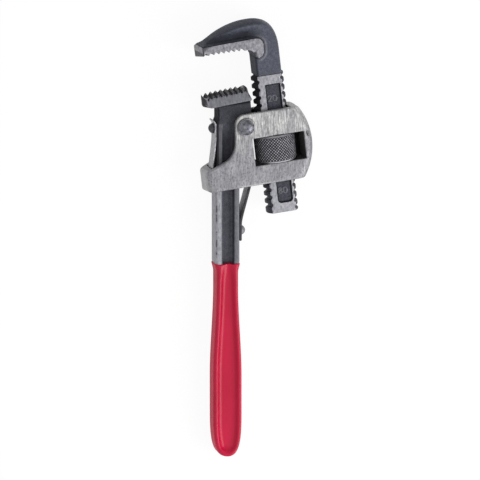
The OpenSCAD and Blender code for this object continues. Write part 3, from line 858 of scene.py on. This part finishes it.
def recess_plan(x, y, inset, half, end_in, shift=0.4):
    """The hollow between the flanges, in plan. Its shift makes the left flange the wider one."""
    side = np.abs(x - BAR_X - shift) - (half - inset - 0.2)
    ends = np.maximum(y - RECESS_TOP + inset - FLANGE_W, end_in - HANDLE_LEN - y)
    return round_max(side, ends, 2.6)


def heel_outline():
    corners = [(-HEEL_LEN, 0, 2.4), (0, 0, 0.4), (0, HEEL_H * 2 / 3, HEEL_H / 2)]
    for i in range(TEETH):
        u = -HEEL_LAND - i * TOOTH_PITCH
        corners += [(u, HEEL_H, 0), (u - 0.62 * TOOTH_PITCH, HEEL_H - TOOTH_H, 0)]
    corners.append((-HEEL_LEN, HEEL_H, 0))
    c, s = math.cos(HEEL_SLOPE), math.sin(HEEL_SLOPE)
    return rounded([(HEEL_X + a * c - b * s, HEEL_Y + a * s + b * c, r) for a, b, r in corners])


def neck_outline():
    low_x = HEEL_X - HEEL_LEN * math.cos(HEEL_SLOPE)
    low_y = HEEL_Y - HEEL_LEN * math.sin(HEEL_SLOPE)
    root_y = HEEL_Y - (HEEL_X - NECK_X) * math.tan(HEEL_SLOPE)
    return rounded([
        (SEAT_X, BAR_FROM - 1, 0), (BAR_RIGHT, BAR_FROM - 1, 0), (BAR_RIGHT, -EYE - 5, 5),
        (EYE, -EYE - 1, 4), (HEEL_X, HEEL_Y, 0), (HEEL_X - 0.5, HEEL_Y + 3, 0),
        (low_x + 5, low_y + 4, 0), (low_x + 3, low_y + 0.7, 0), (NECK_X, root_y - 0.3, 2.9),
        (NECK_X, 5.1, 0), (SEAT_X, 3.1, 0)])


HEEL_PLAN = Sampled((-31, -36), (12, 28), heel=within(heel_outline()), neck=within(neck_outline()))


def dipped_bar(x, y, n):
    """The bar with its coating, wherever the dip reaches."""
    depth = np.abs(n)
    half = bar_half(y, COAT)
    body = round_max(np.abs(x - BAR_X) - half, depth - BAR_HALF_T - COAT, 3.0)
    collar = np.exp(-np.maximum(-y - GRIP_Y, 0) / 5)
    plan = recess_plan(x, y, 3.3 + 3.0 * collar, half, RECESS_END, 0.0)
    floor = WEB_HALF + COAT + 1.0 + 2.4 * collar
    recess = round_max(plan, floor - depth, 2.4)
    return np.maximum(round_max(body, -recess, 3.0), -HANDLE_LEN - y)


def handle(x, y, n):
    depth = np.abs(n)
    flat = depth - BAR_HALF_T
    bar = round_max(np.abs(x - BAR_X) - bar_half(y, 0), flat, 1.3)
    bar = np.maximum(bar, y - BAR_FROM)
    neck = round_max(HEEL_PLAN.neck(x, y), flat, 1.1)
    neck = np.maximum(neck, BAR_FROM - 0.4 - y)
    body = np.minimum(bar, neck)
    plan = recess_plan(x, y, FLANGE_W, bar_half(y, 0), RECESS_END)
    floor = WEB_HALF + 3.5 * ramp(-14, RECESS_TOP, y)
    recess = round_max(plan, floor - depth, 1.3)
    body = round_max(body, -recess, 0.8)
    dipped = ramp(-GRIP_Y - 0.5, -GRIP_Y - 4, y)
    body = body * (1 - dipped) + (dipped_bar(x, y, n) + COAT) * dipped
    # The heel's teeth slant. Towards the back its lower left droops and its right end leans out
    sag = ramp(-12, -24, x) * towards_back(n, JAW_HALF)
    skew = 0.1 * (n + JAW_HALF) * ramp(18, 21, y - 0.158 * (x - HEEL_X))
    stretch = 0.125 * (JAW_HALF - n) * ramp(-1, 4.5, x)
    heel_plan = HEEL_PLAN.heel(x + skew - stretch, y + 2.6 * sag * ramp(22, 12, y))
    heel = round_max(heel_plan, depth - JAW_HALF, 0.35)
    heel = np.maximum(heel, round_max(HEEL_LEFT - x, depth - JAW_HALF, 2.6))
    return round_min(body, heel, 0.8)


def handle_masks(x, y, n):
    """Ground steel, and wear on the flanges; painted light on the teeth's crests, the heel's left end
    and the bar's left side; painted shade between the teeth, under the heel, along the bar's left edge
    and on the neck's side; the neck's face a little darker.
    """
    depth = np.abs(n)
    line = y - HEEL_Y - (x - HEEL_X) * math.tan(HEEL_SLOPE)
    heel = (HEEL_PLAN.heel(x, y) < 0.4) | ((line > -0.4) & (x > 3))
    tooth = heel & (depth < 9.7) & (line > HEEL_H - TOOTH_H - 0.5) & (x > -24.7)
    # Painted highlight on the teeth's crests
    crest = ramp(HEEL_H - 0.8, HEEL_H - 0.2, line)
    below = y < NECK_END
    left = below & (x < BAR_X - 3.3) & (depth < 6.9)
    right = below & (x > BAR_X + 4.2) & (depth > 6.1)
    # Ground metal and wear on the flanges, with the left flange and the bar's left side brighter than
    # the right as painted light
    worn_and_lit = left * (0.93 - 0.83 * ramp(BAR_X - 4.6, BAR_X - 3.8, x)) + right * 0.38
    upper = ((y < 2) & (y > NECK_END) & (x < BAR_X - 3.3) & (depth > 6) & (x > BAR_X - 7)) * 0.42
    # Painted light on the heel's left end
    plain = 0.45 + 0.4 * ramp(-23.4, -24.6, x)
    ground = np.where(heel, np.where(tooth, 0.95 * crest, plain), worn_and_lit + upper)
    # Painted shade between the teeth
    dark = np.where(tooth, 0.95 * (1 - crest), 0.0)
    # Painted shadow in a line under the heel, wider towards its right
    shadow_width = 0.8 + 0.9 * ramp(-14, 2, x)
    under = ramp(-shadow_width - 0.6, -shadow_width, line) * (line < -0.3) * (depth > 6) * (x > -22) * 0.9
    # Painted shade in a broken line along the bar's left edge
    broken = ramp(0.1, 0.5, np.sin(0.31 * y) + np.sin(0.83 * y + 1) + 0.4 * np.sin(2.3 * y))
    corner = below * np.exp(-((x - BAR_X + 7.3) / 0.35) ** 2) * (depth > 5.2) * 0.75 * broken
    # Painted shade on the neck's left side
    neck_side = (~heel) * (y > NECK_END) * (x < BAR_X - 5.0) * (depth < 6.45) * 0.8
    # The neck's face a little darker
    neck_face = (~heel) * ramp(-32, -26, y) * 0.3
    return ground, np.maximum.reduce([dark, under, corner, neck_side, neck_face])


def grip(x, y, n):
    """The coating where it is dipped, with a ragged upper edge."""
    ragged = 0.2 * np.sin(0.9 * x + 0.4 * n) + 0.12 * np.sin(2.1 * x - 1.1 * n)
    return round_max(dipped_bar(x, y, n), y + GRIP_Y + ragged, 0.5)


def grip_masks(x, y, n):
    """The coating is duller round its sides."""
    side = np.abs(x - BAR_X) - bar_half(y, COAT)
    return np.zeros_like(x), 0.75 * ramp(-2.6, -0.6, side) * ramp(7.2, 5.2, np.abs(n))


# ---- springs and rivets ----
FRONT_T, BACK_T = 1.1, 1.7
SPRING_HALF = 5.3
FRONT_TOP, FRONT_END = 3.6, -36.0
FRONT_PIN_Y = -1.5
BACK_BOTTOM, BACK_PIN_Y = -73.5, -68.0
PIN_HEAD_R, PIN_HEAD_H = 3.3, 3.2
PIN_R = 1.7
RIVET_HEAD_R, RIVET_HEAD_H = 5.35, 2.4


def front_path():
    """The front spring, from its curled top down along the neck and out to the lug."""
    flat = SEAT_X - FRONT_T / 2
    end = LUG_INNER + 0.1 + FRONT_T / 2
    leave = FRONT_PIN_Y - PIN_HEAD_R - 1
    curve = bezier((flat, leave), (flat, leave - 8), (end, FRONT_END + 12), (end, FRONT_END))
    top = [(flat - 1.3, FRONT_TOP), (flat - 0.5, FRONT_TOP - 0.9), (flat, FRONT_TOP - 1.8)]
    return np.concatenate([top, curve])


def back_path():
    """The back spring, from its lower end up and out to the frame's guide wall."""
    flat = BAR_RIGHT + BACK_T / 2
    leave = BACK_PIN_Y + PIN_HEAD_R + 0.8
    tip = np.array(from_shank(GUIDE_LEFT - 0.1 - BACK_T * 0.6, WINDOW_BOTTOM - 4.2))
    curve = bezier((flat, leave), (flat, leave + 5), tip + (-4.2, -19), tip)
    return np.concatenate([[(flat, BACK_BOTTOM)], curve])


def spring(path, thick):
    """A leaf of one thickness along its path."""
    def field(x, y, n):
        return round_max(line_distance(path, x, y) - thick / 2, np.abs(n) - SPRING_HALF, 0.35)
    return field


def back_spring_masks(x, y, n):
    """Dark sheared edges along the spring's length."""
    return np.zeros_like(x), (np.abs(n) > SPRING_HALF - 0.25) * 0.6


def front_spring_masks(x, y, n):
    """The broad sides a little darker than their edges."""
    return np.zeros_like(x), ramp(SPRING_HALF - 0.3, SPRING_HALF - 1.4, np.abs(n)) * 0.1


def ball_radius(half_width, height):
    """Radius of the ball whose cap has this half width and height."""
    return (half_width ** 2 + height ** 2) / (2 * height)


def spring_head(x0, y0, side, over):
    """A hammered dome over a spring of some thickness, on the left or the right side."""
    radius = ball_radius(PIN_HEAD_R, PIN_HEAD_H)

    def field(x, y, n):
        out = (x - x0) * side
        ball = np.sqrt((out - over - PIN_HEAD_H + radius) ** 2 + (y - y0) ** 2 + n ** 2) - radius
        ball = ball + 0.07 * np.sin(1.7 * y + 0.5) * np.cos(1.9 * n)
        head = round_max(ball, over - out, 0.2)
        pin = np.maximum(np.hypot(y - y0, n) - PIN_R, np.maximum(out - over - 0.4, -3 - out))
        return np.minimum(head, pin)
    return field


def frame_rivet(x, y, n):
    """A hammered low dome on the frame's front, and the stem that goes through it."""
    radius = ball_radius(RIVET_HEAD_R, RIVET_HEAD_H)
    ball = np.sqrt(x * x + y * y + (n - FRAME_HALF - RIVET_HEAD_H + radius) ** 2) - radius
    head = np.maximum(ball, FRAME_HALF - n)
    head = head + 0.05 + 0.06 * np.sin(1.1 * x + 1) * np.sin(1.3 * y)
    head = head + 0.03 * np.sin(2.3 * x) * np.sin(2.7 * y + 1)
    stem = most(np.hypot(x, y) - RIVET_R + 0.03, n - FRAME_HALF - 0.4, -FRAME_HALF + 0.2 - n)
    return np.minimum(round_max(head, np.hypot(x, y) - RIVET_HEAD_R, 0.4), stem)


# ---- camera, as the wrench is seen: from the left and from the head's side ----
VIEW_LEFT = math.radians(13.65)
VIEW_HEAD = math.radians(11.47)
# In metres, the camera's distance from AIM and the width that it sees there
VIEW_DISTANCE = 3.0
FIELD = 0.3062
AIM = Vector((-0.001645, -0.074684, 0.011076))


def make_camera():
    away = Vector((-math.sin(VIEW_LEFT) * math.cos(VIEW_HEAD), math.sin(VIEW_HEAD),
                   math.cos(VIEW_LEFT) * math.cos(VIEW_HEAD)))
    right = Vector((0, 1, 0)).cross(away).normalized()
    up = away.cross(right)
    data = bpy.data.cameras.new("camera")
    data.sensor_width = 36
    data.lens = data.sensor_width * VIEW_DISTANCE / FIELD
    data.clip_start, data.clip_end = 0.05, 20
    camera = bpy.data.objects.new("camera", data)
    axes = Matrix((right, up, away)).transposed()
    camera.matrix_world = Matrix.Translation(AIM + away * VIEW_DISTANCE) @ axes.to_4x4()
    bpy.context.scene.collection.objects.link(camera)
    bpy.context.scene.camera = camera


# ---- studio ----
WORLD_LIGHT, WORLD_SEEN = 0.46, 1.0
FLOOR_COLOUR, FLOOR_ROUGHNESS = (0.9, 0.9, 0.9, 1), 0.9
FLOOR_GLOW, FLOOR_GLOW_SHARE = 1.03, 0.9


def area_light(name, direction, distance, size, energy):
    data = bpy.data.lights.new(name, "AREA")
    data.shape = "RECTANGLE"
    data.size, data.size_y = size
    data.energy = energy
    light = bpy.data.objects.new(name, data)
    away = Vector(direction).normalized()
    light.location = AIM + away * distance
    light.rotation_euler = away.to_track_quat("Z", "Y").to_euler()
    bpy.context.scene.collection.objects.link(light)


def seen_directly(tree):
    """One for rays from the camera, mirrors and glass, which see the plain background."""
    rays = tree.nodes.new("ShaderNodeLightPath")
    total = rays.outputs["Is Camera Ray"]
    for name in ("Is Glossy Ray", "Is Transmission Ray"):
        node = tree.nodes.new("ShaderNodeMath")
        node.operation = "MAXIMUM"
        tree.links.new(total, node.inputs[0])
        tree.links.new(rays.outputs[name], node.inputs[1])
        total = node.outputs[0]
    return total


def make_studio():
    world = bpy.data.worlds.new("studio")
    bpy.context.scene.world = world
    world.use_nodes = True
    tree = world.node_tree
    background = tree.nodes["Background"]
    background.inputs["Color"].default_value = (1, 1, 1, 1)
    strength = tree.nodes.new("ShaderNodeMapRange")
    tree.links.new(seen_directly(tree), strength.inputs[0])
    strength.inputs["To Min"].default_value = WORLD_LIGHT
    strength.inputs["To Max"].default_value = WORLD_SEEN
    tree.links.new(strength.outputs[0], background.inputs["Strength"])
    area_light("key", direction=(0.74, -0.39, 0.62), distance=1.1, size=(0.8, 0.8), energy=8.2)
    area_light("top", direction=(-0.4, 0.0, 0.9), distance=1.5, size=(1.2, 1.2), energy=3.0)


def make_floor():
    """A pale floor that touches the nut and the end of the grip."""
    size, slope = 4.0, 0.0288
    nut_y, nut_z = -0.014, -0.0019
    corners = [(x, y, nut_z - slope * (y - nut_y)) for y in (-size, size) for x in (-size, size)]
    mesh = bpy.data.meshes.new("floor")
    mesh.from_pydata(corners, [], [(0, 1, 3, 2)])
    material = bpy.data.materials.new("floor")
    material.use_nodes = True
    tree = material.node_tree
    surface = tree.nodes["Principled BSDF"]
    surface.inputs["Base Color"].default_value = FLOOR_COLOUR
    surface.inputs["Roughness"].default_value = FLOOR_ROUGHNESS
    glow = tree.nodes.new("ShaderNodeEmission")
    glow.inputs["Strength"].default_value = FLOOR_GLOW
    mixer = tree.nodes.new("ShaderNodeMixShader")
    share = tree.nodes.new("ShaderNodeMath")
    share.operation = "MULTIPLY"
    share.inputs[1].default_value = FLOOR_GLOW_SHARE
    tree.links.new(seen_directly(tree), share.inputs[0])
    tree.links.new(share.outputs[0], mixer.inputs[0])
    tree.links.new(surface.outputs[0], mixer.inputs[1])
    tree.links.new(glow.outputs[0], mixer.inputs[2])
    tree.links.new(mixer.outputs[0], tree.nodes["Material Output"].inputs["Surface"])
    mesh.materials.append(material)
    floor = bpy.data.objects.new("floor", mesh)
    bpy.context.scene.collection.objects.link(floor)


# ---- the wrench ----
def make_hook_jaw():
    paint = forged_paint("hook_paint", pale=srgb(96, 100, 116), dark=srgb(66, 68, 80),
                         ground_pale=srgb(154, 153, 158), ground_dark=srgb(112, 112, 118))
    sculpt("hook_head", hook_head, low=(-43, 30.4, -10.2), high=(10.6, 67.2, 10.2), step=0.33,
           place=place_along_shank, body="hook_jaw", nodes=["hook_jaw"],
           material=paint, masks=hook_head_masks)
    steel = forged_paint("shank_finish", pale=srgb(70, 72, 86), dark=srgb(42, 43, 52),
                         ground_pale=srgb(164, 164, 170), ground_dark=srgb(136, 136, 141))
    sculpt("hook_shank", shank, low=(-10.6, -59.3, -7.1), high=(10.6, 31.0, 7.1), step=0.3,
           place=place_along_shank, body="hook_jaw", nodes=["hook_jaw"],
           material=steel, masks=shank_masks)


def make_frame():
    sculpt("frame", frame_housing, low=(-50, -42, -11.1), high=(23.5, 9.4, 11.1), step=0.36,
           place=place_along_shank, body="frame", nodes=["frame_housing"],
           material=ground_steel(), masks=frame_masks)
    rivet = oiled_steel("rivet_steel", srgb(136, 136, 144), srgb(72, 72, 80), rough=0.26, metal=0.75)
    sculpt("rivet", frame_rivet, low=(-5.5, -5.5, -11.1), high=(5.5, 5.5, 13.6), step=0.24,
           place=place_along_handle, body="frame", nodes=["frame_rivet"],
           material=rivet)


def make_nut():
    steel = oiled_steel("nut_steel", srgb(168, 168, 176), srgb(92, 92, 100), rough=0.42)
    sculpt("nut", nut, low=(-13.4, NUT_T - 9, -13.4), high=(13.4, NUT_T + 9, 13.4), step=0.24,
           place=place_along_shank, body="nut", nodes=["adjusting_nut"],
           material=steel, masks=nut_masks)


def make_handle():
    paint = forged_paint("handle_paint", pale=srgb(86, 88, 99), dark=srgb(50, 51, 59),
                         ground_pale=srgb(164, 164, 170), ground_dark=srgb(138, 138, 144), length=9)
    sculpt("handle", handle, low=(-27.5, -214.6, -10.2), high=(9.5, 26.5, 10.2), step=0.44,
           place=place_along_handle, body="handle", nodes=["handle_bar"],
           material=paint, masks=handle_masks)
    sculpt("grip", grip, low=(-21.5, -215, -7.5), high=(-0.8, -88, 7.5), step=0.4,
           place=place_along_handle, body="handle", nodes=["grip_coating"],
           material=dipped_vinyl(), masks=grip_masks)


def make_springs():
    bright = oiled_steel("spring_steel", srgb(186, 186, 190), srgb(130, 130, 136), rough=0.33)
    dull = oiled_steel("back_spring_steel", srgb(122, 122, 128), srgb(70, 70, 76), rough=0.4)
    dark = oiled_steel("pin_steel", srgb(84, 84, 90), srgb(44, 44, 49), rough=0.36)
    clean = oiled_steel("clean_pin_steel", srgb(150, 150, 156), srgb(96, 96, 102), rough=0.36)
    front = sculpt("front_spring", spring(front_path(), FRONT_T), low=(-23.5, -37, -5.4),
                   high=(-17, 4.6, 5.4), step=0.25, place=place_along_handle, body=None,
                   nodes=["front_leaf_spring"], material=bright,
                   masks=front_spring_masks)
    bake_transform(front)
    back = sculpt("back_spring", spring(back_path(), BACK_T), low=(-4, -74, -5.4),
                  high=(8.5, -28, 5.4), step=0.3, place=place_along_handle, body=None,
                  nodes=["back_leaf_spring"], material=dull,
                  masks=back_spring_masks)
    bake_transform(back)
    sculpt("front_spring_pin", spring_head(SEAT_X, FRONT_PIN_Y, side=-1, over=FRONT_T),
           low=(-23, -5.2, -3.6), high=(-14.5, 2.2, 3.6), step=0.2, place=place_along_handle,
           body="handle", nodes=["front_spring_rivet"], material=dark)
    sculpt("back_spring_pin", spring_head(BAR_RIGHT, BACK_PIN_Y, side=1, over=BACK_T),
           low=(-6.6, -71.6, -3.6), high=(2, -64.4, 3.6), step=0.2, place=place_along_handle,
           body="handle", nodes=["back_spring_rivet"], material=clean)


make_camera()
make_studio()
make_floor()
make_hook_jaw()
make_frame()
make_nut()
make_handle()
make_springs()
bpy.context.scene.view_settings.view_transform = "Standard"
